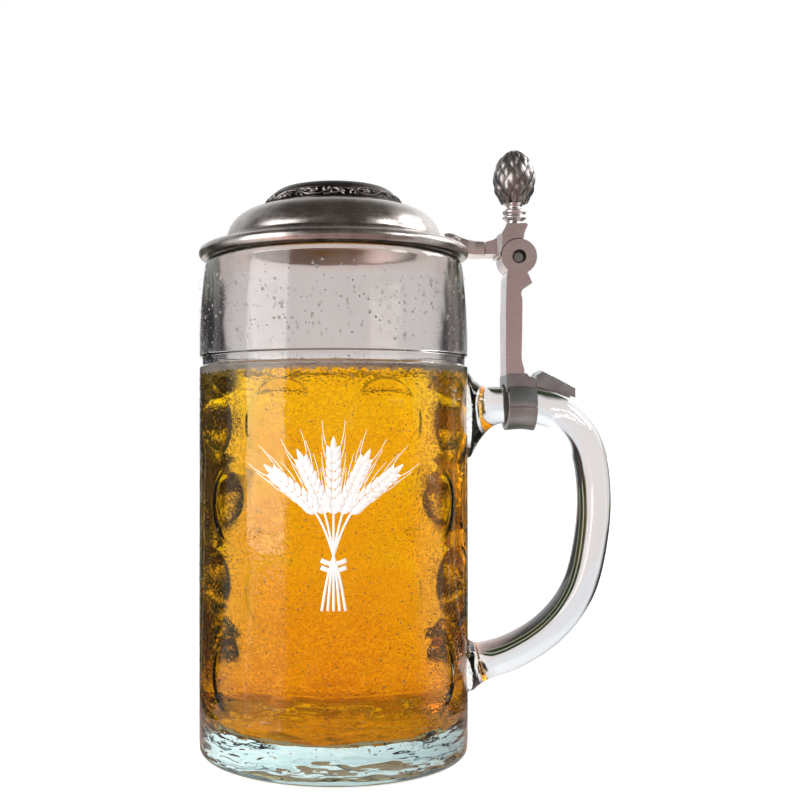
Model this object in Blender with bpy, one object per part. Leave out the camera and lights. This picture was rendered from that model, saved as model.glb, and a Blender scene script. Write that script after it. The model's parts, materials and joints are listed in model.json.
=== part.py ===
"""Half-litre dimpled glass beer stein with a hinged pewter lid.

Metres, +Z up. The origin is the centre of the flat underside of the base, on the mug's axis.
The handle and the hinge are on the +X side. The lid turns about a pin that lies along Y.
"""

import math

import bmesh
import bpy
from mathutils import Vector

MM = 0.001
GAP = 0.3 * MM  # clearance left where two pieces touch
THIN_GAP = 0.2 * MM  # clearance either side of the cushion under the collar
HIDDEN_OVERLAP = 1.0 * MM  # how far joined shapes reach into each other

# Glass mug
MUG_RADIUS = 42.8 * MM
MUG_HEIGHT = 156.0 * MM
BORE_RADIUS = 38.3 * MM
FLOOR_HEIGHT = 10.3 * MM
FLOOR_FILLET = 4.5 * MM
FOOT_RADIUS = 40.4 * MM
FOOT_ROUND = 2.3 * MM
BODY_TOP = 121.5 * MM
MUG_SEGMENTS = 64

# Dimples: four staggered rows of shallow pockets in the bore, under a smooth outside
DIMPLE_ZONE = (14.8 * MM, 117.0 * MM)
DIMPLE_COLUMNS = 8
DIMPLE_ROW_HEIGHTS = (27.9 * MM, 54.2 * MM, 79.6 * MM, 103.9 * MM)
DIMPLE_HALF_WIDTH = 12.2 * MM
DIMPLE_HALF_HEIGHT = 12.6 * MM
DIMPLE_DEPTH = 2.4 * MM
DIMPLE_RIM = 1.5  # 1 is a bowl; larger is flatter in the middle and steeper at the rim

# Handle: centreline in the XZ plane, from the upper root to the lower root
HANDLE_POINTS = tuple(
    (x * MM, z * MM)
    for x, z in (
        (40.4, 109.4),
        (53.4, 110.0),
        (62.5, 110.0),
        (72.5, 106.8),
        (80.2, 98.2),
        (83.1, 86.0),
        (82.8, 70.0),
        (78.7, 52.0),
        (69.6, 39.2),
        (56.0, 30.6),
        (40.4, 26.6),
    )
)
HANDLE_STATIONS = 30
HANDLE_SIDES = 16
HANDLE_HALF_UPPER = 6.2 * MM  # in the XZ plane, near the upper root
HANDLE_HALF_MIDDLE = 5.2 * MM  # at the outermost point
HANDLE_HALF_LOWER = 6.2 * MM  # near the lower root
HANDLE_HALF_WIDTH = 8.0 * MM  # along Y

# Collar round the handle
CLAMP_START_X = 55.0 * MM
CLAMP_END_X = 63.8 * MM
LINER_THICKNESS = 0.4 * MM
CLAMP_WALL = 1.4 * MM
CLAMP_SEAM_HEIGHT = 109.2 * MM
CLAMP_STATIONS = 4
CLAMP_SIDES = 24
CLAMP_END_MARGIN = 3 * MM  # the sleeve is lofted this much too long, then cut off square
CLAMP_REACH = 15 * MM  # more than the collar's half size, for cutters
SADDLE_BLOCK_LOW = (54.2 * MM, -6.6 * MM, 113.0 * MM)
SADDLE_BLOCK_HIGH = (60.4 * MM, 6.6 * MM, 120.6 * MM)

# Hinge
HINGE_X = 58.6 * MM
HINGE_Z = 156.8 * MM
KNUCKLE_RADIUS = 5.6 * MM
KNUCKLE_COUNT = 5
KNUCKLE_WIDTH = 2.26 * MM
PIN_RADIUS = 1.7 * MM
PIN_BORE_RADIUS = 2.2 * MM
PIN_LENGTH = 9.2 * MM
HINGE_SIDES = 24
HARDWARE_HALF_DEPTH = (KNUCKLE_COUNT * KNUCKLE_WIDTH + (KNUCKLE_COUNT - 1) * GAP) / 2

# Lid
LID_SEAT = MUG_HEIGHT + GAP
LID_RADIUS = 43.0 * MM
LID_TOP = 172.2 * MM
LID_SEGMENTS = 48
LOCATING_RING_LOW = 155.0 * MM  # it reaches this far down into the mouth of the mug

# Pinecone on the stem
STEM_X = 57.9 * MM
PINECONE_BASE = 174.8 * MM
PINECONE_TOP = 191.9 * MM
PINECONE_RADIUS = 6.5 * MM
PINECONE_CUP_RADIUS = 3.9 * MM
PINECONE_CUP_SHARE = 0.14  # of the height
PINECONE_SCALE_HEIGHT = 0.7 * MM
PINECONE_SCALES = 8
PINECONE_ROWS = 6


# ---------------------------------------------------------------- materials


def material(name, colour, roughness, metallic=0.0, transmission=0.0):
    made = bpy.data.materials.new(name)
    made.use_nodes = True
    shader = made.node_tree.nodes["Principled BSDF"]
    shader.inputs["Base Color"].default_value = (*colour, 1.0)
    shader.inputs["Roughness"].default_value = roughness
    shader.inputs["Metallic"].default_value = metallic
    shader.inputs["Transmission Weight"].default_value = transmission
    return made


def clear_scene():
    for old in list(bpy.data.objects):
        bpy.data.objects.remove(old, do_unlink=True)


# ---------------------------------------------------------------- shape helpers


def mesh_object(name, bm, look=None, sharp_angle=35):
    """Closes off a bmesh as a smooth-shaded object with outward faces."""
    bmesh.ops.recalc_face_normals(bm, faces=bm.faces)
    mesh = bpy.data.meshes.new(name)
    bm.to_mesh(mesh)
    bm.free()
    mesh.shade_smooth()
    mesh.set_sharp_from_angle(angle=math.radians(sharp_angle))
    made = bpy.data.objects.new(name, mesh)
    bpy.context.scene.collection.objects.link(made)
    if look is not None:
        mesh.materials.append(look)
    return made


def helper(made):
    """Marks a cutter, or a shape that a Boolean joins on."""
    made.hide_render = True
    made.display_type = "WIRE"
    return made


def combine(target, other, operation):
    boolean = target.modifiers.new(operation.title() + " " + other.name, "BOOLEAN")
    boolean.operation = operation
    boolean.solver = "EXACT"
    boolean.object = helper(other)


def ring_faces(bm, first, second):
    """Joins two rings of vertices; either may be a single vertex on the axis."""
    count = max(len(first), len(second))
    for i in range(count):
        corners = (
            first[i % len(first)],
            first[(i + 1) % len(first)],
            second[(i + 1) % len(second)],
            second[i % len(second)],
        )
        bm.faces.new(dict.fromkeys(corners))


def turned(name, profile, look=None, segments=LID_SEGMENTS, centre_x=0.0, closed=False):
    """Turns an (r, z) profile about the vertical line at centre_x. A closed profile makes a ring."""
    bm = bmesh.new()
    rings = []
    for radius, height in profile:
        if radius == 0:
            rings.append([bm.verts.new((centre_x, 0, height))])
            continue
        angles = (math.tau * i / segments for i in range(segments))
        rings.append(
            [
                bm.verts.new((centre_x + radius * math.cos(a), radius * math.sin(a), height))
                for a in angles
            ]
        )
    for first, second in zip(rings, rings[1:]):
        ring_faces(bm, first, second)
    if closed:
        ring_faces(bm, rings[-1], rings[0])
    return mesh_object(name, bm, look)


def prism(name, outline, half_depth, look=None, centre_y=0.0):
    """Extrudes an (x, z) outline along Y, to half_depth on each side of centre_y."""
    bm = bmesh.new()
    front = [bm.verts.new((x, centre_y - half_depth, z)) for x, z in outline]
    base = bm.faces.new(front)
    made = bmesh.ops.extrude_face_region(bm, geom=[base])
    moved = [v for v in made["geom"] if isinstance(v, bmesh.types.BMVert)]
    bmesh.ops.translate(bm, verts=moved, vec=(0, 2 * half_depth, 0))
    return mesh_object(name, bm, look)


def block(name, low, high):
    """A box between two corners."""
    outline = ((low[0], low[2]), (high[0], low[2]), (high[0], high[2]), (low[0], high[2]))
    return prism(name, outline, (high[1] - low[1]) / 2, centre_y=(low[1] + high[1]) / 2)


def hinge_disc(name, radius, centre_y, half_width):
    """A cylinder on the hinge axis."""
    outline = [
        (
            HINGE_X + radius * math.cos(math.tau * i / HINGE_SIDES),
            HINGE_Z + radius * math.sin(math.tau * i / HINGE_SIDES),
        )
        for i in range(HINGE_SIDES)
    ]
    return prism(name, outline, half_width, centre_y=centre_y)


def loft(name, sections, look=None, sharp_angle=35):
    """Skins equal rings of points and closes both ends."""
    bm = bmesh.new()
    rings = [[bm.verts.new(point) for point in section] for section in sections]
    for first, second in zip(rings, rings[1:]):
        ring_faces(bm, first, second)
    bm.faces.new(rings[0])
    bm.faces.new(rings[-1])
    return mesh_object(name, bm, look, sharp_angle)


def arc(centre_r, centre_z, radius, start_deg, end_deg, steps):
    """Points (r, z) along a circular arc, both ends included."""
    return [
        (
            centre_r + radius * math.cos(math.radians(start_deg + (end_deg - start_deg) * i / steps)),
            centre_z + radius * math.sin(math.radians(start_deg + (end_deg - start_deg) * i / steps)),
        )
        for i in range(steps + 1)
    ]


# ---------------------------------------------------------------- handle curve


def spline_point(points, at):
    """Catmull-Rom curve through points; at runs from 0 to len(points) - 1."""
    last = len(points) - 1
    i = min(int(at), last - 1)
    t = at - i
    p0, p1, p2, p3 = (Vector(points[min(max(i + k, 0), last)]) for k in (-1, 0, 1, 2))
    return 0.5 * (
        2 * p1
        + (p2 - p0) * t
        + (2 * p0 - 5 * p1 + 4 * p2 - p3) * t**2
        + (3 * p1 - p0 - 3 * p2 + p3) * t**3
    )


def handle_frame(at):
    """Centre and outward unit normal of the handle at a curve position, in the XZ plane."""
    step = 0.02
    last = len(HANDLE_POINTS) - 1
    ahead = spline_point(HANDLE_POINTS, min(at + step, last))
    behind = spline_point(HANDLE_POINTS, max(at - step, 0))
    along = (ahead - behind).normalized()
    return spline_point(HANDLE_POINTS, at), Vector((-along.y, along.x))


def root_flare(distance, height, reach):
    """Extra half thickness where the handle runs out into the mug wall."""
    return height * max(0.0, 1 - distance / reach) ** 2


def handle_section(at, offset=0.0, sides=HANDLE_SIDES):
    """Ring of points round the handle, moved outward by offset."""
    centre, normal = handle_frame(at)
    last = len(HANDLE_POINTS) - 1
    middle = 0.5 * last
    share = abs(at - middle) / middle
    end_half, swelling = (HANDLE_HALF_UPPER, 1.5) if at < middle else (HANDLE_HALF_LOWER, 3)
    half = HANDLE_HALF_MIDDLE + (end_half - HANDLE_HALF_MIDDLE) * share**swelling
    from_wall = max(0.0, centre.x - MUG_RADIUS)
    if at < middle:
        outer = half + root_flare(from_wall, 6.5 * MM, 6.5 * MM)
        inner = half + root_flare(from_wall, 10.5 * MM, 11.0 * MM)
    else:
        outer = half + root_flare(from_wall, 2.4 * MM, 7.5 * MM)
        inner = half + root_flare(from_wall, 5.0 * MM, 4.5 * MM)
    width = HANDLE_HALF_WIDTH + root_flare(from_wall, 3.0 * MM, 8.0 * MM)
    ring = []
    for i in range(sides):
        angle = math.tau * i / sides
        rise = math.sin(angle) * ((outer if math.sin(angle) > 0 else inner) + offset)
        side = math.cos(angle) * (width + offset)
        ring.append((centre.x + normal.x * rise, side, centre.y + normal.y * rise))
    return ring


def handle_position_at_x(x):
    """Curve position on the upper arm of the handle where its centre reaches x."""
    low, high = 0.0, 3.0
    for _ in range(40):
        middle = (low + high) / 2
        if spline_point(HANDLE_POINTS, middle).x < x:
            low = middle
        else:
            high = middle
    return low


# ---------------------------------------------------------------- glass mug


def dimple_depth(angle, height):
    """How far the bore is pressed out at a place on its wall."""
    deepest = 0.0
    column_step = math.tau / DIMPLE_COLUMNS
    for row, row_height in enumerate(DIMPLE_ROW_HEIGHTS):
        shift = 0.0 if row % 2 == 0 else column_step / 2
        nearest = round((angle - shift) / column_step) * column_step + shift
        across = BORE_RADIUS * math.remainder(angle - nearest, math.tau) / DIMPLE_HALF_WIDTH
        upward = (height - row_height) / DIMPLE_HALF_HEIGHT
        deepest = max(deepest, 1 - (across**2 + upward**2) ** DIMPLE_RIM)
    return DIMPLE_DEPTH * deepest


def mug_outer_profile():
    """Outside of the mug from the foot up to the rim, as (r, z)."""
    foot = arc(FOOT_RADIUS, FOOT_ROUND, FOOT_ROUND, -90, -10, 3)
    neck = [
        (MUG_RADIUS, 6.0 * MM),
        (MUG_RADIUS, BODY_TOP),
        (42.0 * MM, 122.6 * MM),
        (42.0 * MM, 125.0 * MM),
        (42.6 * MM, 126.0 * MM),
        (42.8 * MM, 130.0 * MM),
        (42.3 * MM, 142.0 * MM),
        (41.3 * MM, 152.0 * MM),
        (40.9 * MM, 154.6 * MM),
        (40.1 * MM, 155.7 * MM),
        (39.4 * MM, MUG_HEIGHT),
    ]
    return foot + neck


def mug_inner_profile():
    """Inside of the mug from the rim down to the middle of the floor, as (r, z)."""
    lip = [(38.8 * MM, 155.7 * MM), (38.4 * MM, 154.6 * MM)]
    low, high = DIMPLE_ZONE
    rows = 23
    bore = [(BORE_RADIUS, high - (high - low) * i / rows) for i in range(rows)]
    corner_z = FLOOR_HEIGHT + FLOOR_FILLET
    corner = arc(BORE_RADIUS - FLOOR_FILLET, corner_z, FLOOR_FILLET, 0, -90, 3)
    return lip + bore + corner + [(0.0, FLOOR_HEIGHT)]


def glass_mug(look):
    bm = bmesh.new()
    rings = [[bm.verts.new((0, 0, 0))]]
    for radius, height in mug_outer_profile() + mug_inner_profile():
        if radius == 0:
            rings.append([bm.verts.new((0, 0, height))])
            continue
        in_bore = radius == BORE_RADIUS
        ring = []
        for i in range(MUG_SEGMENTS):
            angle = math.tau * i / MUG_SEGMENTS
            r = radius + (dimple_depth(angle, height) if in_bore else 0.0)
            ring.append(bm.verts.new((r * math.cos(angle), r * math.sin(angle), height)))
        rings.append(ring)
    for first, second in zip(rings, rings[1:]):
        ring_faces(bm, first, second)
    mug = mesh_object("glass_mug", bm, look, sharp_angle=30)
    last = len(HANDLE_POINTS) - 1
    sections = [
        handle_section(last * i / (HANDLE_STATIONS - 1)) for i in range(HANDLE_STATIONS)
    ]
    combine(mug, loft("handle_shape", sections), "UNION")
    return mug


# ---------------------------------------------------------------- collar on the handle


def collar_solid(name, start_x, end_x, offset):
    """Solid sleeve that follows the handle and is cut off square at two X positions."""
    start = handle_position_at_x(start_x - CLAMP_END_MARGIN)
    end = handle_position_at_x(end_x + CLAMP_END_MARGIN)
    sections = [
        handle_section(start + (end - start) * i / (CLAMP_STATIONS - 1), offset, CLAMP_SIDES)
        for i in range(CLAMP_STATIONS)
    ]
    sleeve = loft(name, sections)
    slab = block(name + "_slab", (start_x, -20 * MM, 90 * MM), (end_x, 20 * MM, 130 * MM))
    combine(sleeve, slab, "INTERSECT")
    return sleeve


def clamp_liner(look):
    outside = THIN_GAP + LINER_THICKNESS
    liner = collar_solid("clamp_liner", CLAMP_START_X, CLAMP_END_X, outside)
    liner.data.materials.append(look)
    bore = collar_solid(
        "liner_bore",
        CLAMP_START_X - HIDDEN_OVERLAP,
        CLAMP_END_X + HIDDEN_OVERLAP,
        THIN_GAP,
    )
    combine(liner, bore, "DIFFERENCE")
    return liner


def clamp_piece(name, look, keep_above):
    """Upper or lower half of the collar; the upper half carries the block under the strap."""
    bore_offset = 2 * THIN_GAP + LINER_THICKNESS
    piece = collar_solid(name, CLAMP_START_X, CLAMP_END_X, bore_offset + CLAMP_WALL)
    piece.data.materials.append(look)
    if keep_above:
        combine(piece, block("saddle_block", SADDLE_BLOCK_LOW, SADDLE_BLOCK_HIGH), "UNION")
    bore = collar_solid(
        name + "_bore",
        CLAMP_START_X - 2 * HIDDEN_OVERLAP,
        CLAMP_END_X + HIDDEN_OVERLAP,
        bore_offset,
    )
    combine(piece, bore, "DIFFERENCE")
    centre_x = (CLAMP_START_X + CLAMP_END_X) / 2
    if keep_above:
        z_range = (CLAMP_SEAM_HEIGHT - CLAMP_REACH, CLAMP_SEAM_HEIGHT + GAP / 2)
    else:
        z_range = (CLAMP_SEAM_HEIGHT - GAP / 2, CLAMP_SEAM_HEIGHT + CLAMP_REACH)
    cutter = block(
        name + "_seam_cut",
        (centre_x - CLAMP_REACH, -CLAMP_REACH, z_range[0]),
        (centre_x + CLAMP_REACH, CLAMP_REACH, z_range[1]),
    )
    combine(piece, cutter, "DIFFERENCE")
    return piece


def clamp_tail(look):
    """Ridged tongue over the handle, with a flange down each side, tapering away from the collar."""
    stations = (
        # x, flange z, underside z, side edge z, ridge z, half width
        (64.1, 115.6, 117.1, 119.2, 120.4, 5.4),
        (66.2, 115.3, 116.6, 120.6, 121.2, 5.6),
        (72.0, 114.0, 115.0, 117.8, 118.5, 5.1),
        (76.6, 112.3, 113.3, 115.4, 116.0, 4.5),
    )
    flange = 1.0
    fillet = 0.4
    sections = [
        [
            Vector((x, half - flange - fillet, under)) * MM,
            Vector((x, half - flange, low)) * MM,
            Vector((x, half, low)) * MM,
            Vector((x, half, edge)) * MM,
            Vector((x, 0, ridge)) * MM,
            Vector((x, -half, edge)) * MM,
            Vector((x, -half, low)) * MM,
            Vector((x, flange - half, low)) * MM,
            Vector((x, flange + fillet - half, under)) * MM,
        ]
        for x, low, under, edge, ridge, half in stations
    ]
    return loft("clamp_tail", sections, look, sharp_angle=20)


# ---------------------------------------------------------------- hinge


def knuckle_centres():
    """Y positions of the hinge knuckles, front to back. Even places belong to the strap."""
    pitch = KNUCKLE_WIDTH + GAP
    first = -(KNUCKLE_COUNT - 1) / 2 * pitch
    return [first + pitch * i for i in range(KNUCKLE_COUNT)]


def add_knuckles(piece, own_parity):
    """Joins this piece's knuckles on, clears the other piece's knuckles and bores for the pin."""
    half = KNUCKLE_WIDTH / 2
    for i, centre_y in enumerate(knuckle_centres()):
        if i % 2 == own_parity:
            disc = hinge_disc(f"{piece.name}_knuckle_{i}", KNUCKLE_RADIUS, centre_y, half)
            combine(piece, disc, "UNION")
            continue
        low_y = centre_y - half - (HIDDEN_OVERLAP if i == 0 else GAP)
        high_y = centre_y + half + (HIDDEN_OVERLAP if i == KNUCKLE_COUNT - 1 else GAP)
        room = hinge_disc(
            f"{piece.name}_room_{i}",
            KNUCKLE_RADIUS + GAP,
            (low_y + high_y) / 2,
            (high_y - low_y) / 2,
        )
        combine(piece, room, "DIFFERENCE")
    bore = hinge_disc(piece.name + "_pin_bore", PIN_BORE_RADIUS, 0, 2 * HARDWARE_HALF_DEPTH)
    combine(piece, bore, "DIFFERENCE")


def hinge_strap(look):
    """Post from the saddle up to the hinge, with a pointed spur on its outer side."""
    outline = [
        (x * MM, z * MM)
        for x, z in (
            (54.3, 120.9),
            (60.3, 120.9),
            (59.5, 123.6),
            (59.4, 144.6),
            (61.5, 146.8),
            (62.7, 148.4),
            (61.2, 150.6),
            (61.0, 154.0),
            (55.6, 154.0),
            (54.6, 151.0),
            (54.4, 124.0),
        )
    ]
    strap = prism("hinge_strap", outline, HARDWARE_HALF_DEPTH, look)
    add_knuckles(strap, own_parity=0)
    return strap


def hinge_pin(look):
    pin = hinge_disc("hinge_pin", PIN_RADIUS, 0, PIN_LENGTH / 2)
    pin.data.materials.append(look)
    return pin


# ---------------------------------------------------------------- lid


def lid_profile():
    """Closed section of the lid shell, from the top centre down the outside and back inside."""
    outside = [
        (0.0, LID_TOP),
        (23.4 * MM, LID_TOP),
        (27.4 * MM, 171.4 * MM),
        (30.9 * MM, 169.2 * MM),
        (33.0 * MM, 166.6 * MM),
        (34.0 * MM, 164.2 * MM),
        (34.5 * MM, 162.1 * MM),
        (38.3 * MM, 160.9 * MM),
        (41.6 * MM, 159.9 * MM),
        (42.7 * MM, 159.1 * MM),
        (LID_RADIUS, 158.0 * MM),
        (42.8 * MM, 157.0 * MM),
        (42.1 * MM, LID_SEAT),
    ]
    ring_and_hollow = [
        (37.5 * MM, LID_SEAT),
        (37.4 * MM, LOCATING_RING_LOW),
        (36.4 * MM, LOCATING_RING_LOW),
        (36.1 * MM, 159.0 * MM),
        (32.6 * MM, 160.8 * MM),
        (32.1 * MM, 163.8 * MM),
        (31.2 * MM, 166.0 * MM),
        (29.5 * MM, 167.9 * MM),
        (26.5 * MM, 169.7 * MM),
        (23.0 * MM, 170.4 * MM),
        (0.0, 170.4 * MM),
    ]
    return outside + ring_and_hollow


def lid_relief_ring(look):
    """Domed band that rises to a thin rim round the medallion."""
    section = [
        (13.4, 172.5),
        (22.4, 172.5),
        (22.0, 173.4),
        (21.1, 174.9),
        (19.6, 176.3),
        (17.8, 177.3),
        (16.8, 177.8),
        (16.5, 178.4),
        (15.9, 178.6),
        (15.4, 178.3),
        (15.3, 177.6),
        (15.3, 176.8),
        (13.4, 176.8),
    ]
    profile = [(r * MM, z * MM) for r, z in section]
    return turned("lid_relief_ring", profile, look, closed=True)


def lid_medallion(look):
    """Low domed plate that sits inside the relief ring."""
    section = [(0, 177.1), (15.0, 177.1), (15.0, 177.7), (14.3, 178.1), (9.0, 178.9), (0, 179.3)]
    profile = [(r * MM, z * MM) for r, z in section]
    return turned("lid_medallion", profile, look)


def lid_tang(look):
    """Leaf-shaped tongue on the flange, reaching out towards the hinge."""
    stations = (
        # x, underside z, top z, half width
        (36.1, 162.2, 164.4, 0.6),
        (37.4, 160.9, 164.8, 2.6),
        (39.6, 160.2, 164.0, 4.6),
        (42.4, 157.9, 163.1, 5.2),
        (45.2, 157.6, 162.4, 4.4),
        (47.8, 157.6, 162.2, 5.0),
    )
    sections = [
        [
            Vector((x, -half, under)) * MM,
            Vector((x, half, under)) * MM,
            Vector((x, half, top - 0.8)) * MM,
            Vector((x, half * 0.6, top)) * MM,
            Vector((x, -half * 0.6, top)) * MM,
            Vector((x, -half, top - 0.8)) * MM,
        ]
        for x, under, top, half in stations
    ]
    tang = loft("lid_tang", sections, look, sharp_angle=25)
    below = 150 * MM
    clearance = [(0.0, below)]
    clearance += [(LID_RADIUS + GAP, below), (LID_RADIUS + GAP, 159.0 * MM)]
    clearance += [(42.0 * MM, 160.2 * MM), (38.4 * MM, 161.3 * MM), (34.8 * MM, 162.4 * MM)]
    clearance += [(34.3 * MM, 164.4 * MM), (32.0 * MM, 169.0 * MM), (0.0, 169.0 * MM)]
    combine(tang, turned("lid_clearance", clearance), "DIFFERENCE")
    return tang


def thumb_lift(look):
    """Arm with the lid's knuckles, the block over the hinge and the stem for the finial."""
    outline = [
        (x * MM, z * MM)
        for x, z in (
            (48.1, 157.7),
            (58.6, 157.7),
            (60.6, 160.0),
            (59.9, 163.4),
            (61.4, 166.9),
            (60.6, 167.7),
            (54.4, 167.7),
            (52.9, 166.4),
            (52.2, 164.0),
            (50.4, 162.7),
            (48.1, 162.2),
        )
    ]
    lift = prism("thumb_lift", outline, HARDWARE_HALF_DEPTH, look)
    stem = [
        (0.0, 166.0),
        (2.6, 166.0),
        (2.4, 168.7),
        (3.5, 169.0),
        (3.9, 170.3),
        (3.5, 171.6),
        (2.4, 172.0),
        (2.4, 173.2),
        (3.2, 174.5),
        (0.0, 174.5),
    ]
    profile = [(r * MM, z * MM) for r, z in stem]
    combine(lift, turned("stem_shape", profile, segments=24, centre_x=STEM_X), "UNION")
    add_knuckles(lift, own_parity=1)
    return lift


def pinecone(look):
    """Rows of overlapping scales on an egg-shaped body above a small cup."""
    rows, sides = 22, 24
    height = PINECONE_TOP - PINECONE_BASE
    sections = []
    for k in range(rows + 1):
        share = k / rows
        swelling = math.sin(math.pi * (0.1 + 0.86 * share)) ** 0.75
        above_cup = share > PINECONE_CUP_SHARE
        radius = PINECONE_RADIUS * swelling if above_cup else PINECONE_CUP_RADIUS
        up = (share - PINECONE_CUP_SHARE) / (1 - PINECONE_CUP_SHARE) * PINECONE_ROWS
        row = math.floor(up)
        ring = []
        for i in range(sides):
            angle = math.tau * i / sides
            turn = angle * PINECONE_SCALES / math.tau + 0.5 * (row % 2)
            across = abs(turn - round(turn)) * 2
            bump = PINECONE_SCALE_HEIGHT * (1 - across) * (1 - (up - row)) * swelling
            r = radius + (bump if above_cup else 0.0)
            z = PINECONE_BASE + height * share
            ring.append((STEM_X + r * math.cos(angle), r * math.sin(angle), z))
        sections.append(ring)
    return loft("pinecone", sections, look, sharp_angle=40)


# ---------------------------------------------------------------- the stein


def main():
    clear_scene()
    glass = material("clear_glass", (0.87, 0.92, 0.90), 0.03, transmission=1.0)
    pewter = material("pewter", (0.56, 0.53, 0.50), 0.32, metallic=1.0)
    dark_pewter = material("antique_pewter", (0.16, 0.15, 0.14), 0.45, metallic=1.0)
    pin_metal = material("pin_metal", (0.36, 0.34, 0.33), 0.40, metallic=1.0)
    cushion = material("clamp_cushion", (0.80, 0.80, 0.78), 0.60)

    glass_mug(glass)
    clamp_liner(cushion)
    clamp_piece("clamp_saddle", pewter, keep_above=True)
    clamp_piece("clamp_band", pewter, keep_above=False)
    clamp_tail(pewter)
    hinge_strap(pewter)
    hinge_pin(pin_metal)

    lid_pivot = bpy.data.objects.new("lid_pivot", None)
    lid_pivot.location = (HINGE_X, 0, HINGE_Z)
    bpy.context.scene.collection.objects.link(lid_pivot)
    lid_pieces = [
        turned("lid", lid_profile(), pewter),
        lid_relief_ring(dark_pewter),
        lid_medallion(pewter),
        lid_tang(pewter),
        thumb_lift(pewter),
        pinecone(pewter),
    ]
    for piece in lid_pieces:
        piece.parent = lid_pivot
        piece.matrix_parent_inverse = lid_pivot.matrix_basis.inverted()


main()
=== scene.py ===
"""Looks of the half-litre beer stein: fine glass, pewter, beer and condensation round the CAD frame."""

import json
import math
import random

import bmesh
import bpy
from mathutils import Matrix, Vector

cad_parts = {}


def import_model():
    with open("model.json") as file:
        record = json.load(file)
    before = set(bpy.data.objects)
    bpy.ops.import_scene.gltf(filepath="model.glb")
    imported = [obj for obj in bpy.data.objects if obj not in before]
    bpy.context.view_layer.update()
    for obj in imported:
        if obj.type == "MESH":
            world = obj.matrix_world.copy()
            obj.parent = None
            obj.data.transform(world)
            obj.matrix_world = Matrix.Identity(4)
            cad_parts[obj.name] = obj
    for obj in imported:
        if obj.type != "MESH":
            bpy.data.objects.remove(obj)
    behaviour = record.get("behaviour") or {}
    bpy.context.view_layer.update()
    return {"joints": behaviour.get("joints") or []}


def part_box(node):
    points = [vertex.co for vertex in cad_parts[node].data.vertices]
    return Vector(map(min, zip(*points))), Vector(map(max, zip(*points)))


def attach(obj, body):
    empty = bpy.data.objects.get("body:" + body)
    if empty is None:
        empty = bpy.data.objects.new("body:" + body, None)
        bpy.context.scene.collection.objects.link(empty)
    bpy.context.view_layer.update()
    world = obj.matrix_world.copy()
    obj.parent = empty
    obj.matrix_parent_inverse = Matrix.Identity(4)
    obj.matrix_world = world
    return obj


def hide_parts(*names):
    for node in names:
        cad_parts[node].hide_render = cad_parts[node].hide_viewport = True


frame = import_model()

MM = 0.001
MUG, LID = "mug_body", "lid_assembly"

# Frame: driving sizes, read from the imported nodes
MUG_RADIUS = -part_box("glass_mug")[0][0]
HINGE_X, _, HINGE_Z = frame["joints"][0]["pos_m"]
HARDWARE_HALF_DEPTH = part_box("hinge_strap")[1][1]
PINECONE_LOW, PINECONE_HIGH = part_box("pinecone")
STEM_X = (PINECONE_LOW[0] + PINECONE_HIGH[0]) / 2

# Glass
BORE_RADIUS = 38.3 * MM
FLOOR_HEIGHT = 10.3 * MM
FLOOR_FILLET = 4.5 * MM
MUG_SEGMENTS = 320
DIMPLE_ZONE = (14.8 * MM, 117.0 * MM)
DIMPLE_COLUMNS = 8
DIMPLE_ROW_HEIGHTS = (27.9 * MM, 54.2 * MM, 79.6 * MM, 103.9 * MM)
DIMPLE_HALF_WIDTH = 12.2 * MM
DIMPLE_HALF_HEIGHT = 12.6 * MM
DIMPLE_DEPTH = 2.4 * MM
DIMPLE_RIM = 1.5  # 1 is a bowl; larger is flatter in the middle and steeper at the rim
DIMPLE_RIDGE = 26.0  # larger makes the ridge between neighbours sharper
HANDLE_POINTS = tuple(
    (x * MM, z * MM)
    for x, z in (
        (40.4, 109.4), (53.4, 110.0), (62.5, 110.0), (72.5, 106.8), (80.2, 98.2), (83.1, 86.0),
        (82.8, 70.0), (78.7, 52.0), (69.6, 39.2), (56.0, 30.6), (40.4, 26.6),
    )
)
HANDLE_HALF_MIDDLE = 5.2 * MM  # in the XZ plane, at the outermost point
HANDLE_GROWTH = 1.0 * MM  # added to it at both roots
HANDLE_HALF_WIDTH = 8.0 * MM  # along Y
HANDLE_SETBACK = -0.02 * MM  # keeps the finer handle inside the coarser CAD one
HANDLE_SHADE = 0.32  # half angle round the mug that its roots cover

# Print
PRINT_CENTRE = 75.6 * MM
PRINT_SINK = 0.02 * MM
PRINT_RISE = 0.05 * MM

# Beer
BEER_LEVEL = 120.2 * MM
BEER_OVERLAP = 0.12 * MM  # the beer reaches into the glass, so light crosses one surface

# Collar and hinge
CLAMP_START_X = 55.0 * MM
CLAMP_END_X = 63.8 * MM
CLAMP_SEAM_HEIGHT = 109.2 * MM
CLAMP_SEAM_HALF = 0.15 * MM
CLAMP_BORE_OFFSET = 0.8 * MM
CLAMP_WALL = 1.4 * MM
KNUCKLE_RADIUS = 5.6 * MM
KNUCKLE_COUNT = 5
KNUCKLE_GAP = 0.3 * MM
KNUCKLE_WIDTH = 2.26 * MM
PIN_BORE_RADIUS = 2.2 * MM
PIN_RADIUS = 1.7 * MM
PIN_HALF_LENGTH = 4.6 * MM  # its ends lie deep in the outer knuckles
LINER_OFFSETS = (0.2 * MM, 0.6 * MM)  # of its bore and its outside, from the handle
FITTING_EDGE = 0.18 * MM  # bevel

# Studio
FLOOR_HALF_SIZE = 4.0
CAMERA_PLACE = (0, -0.370, 0.102)
CAMERA_LENS = 51.9
CAMERA_SHIFT = (0.083, 0.0375)

random.seed(7)


# ---- node helpers


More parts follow.
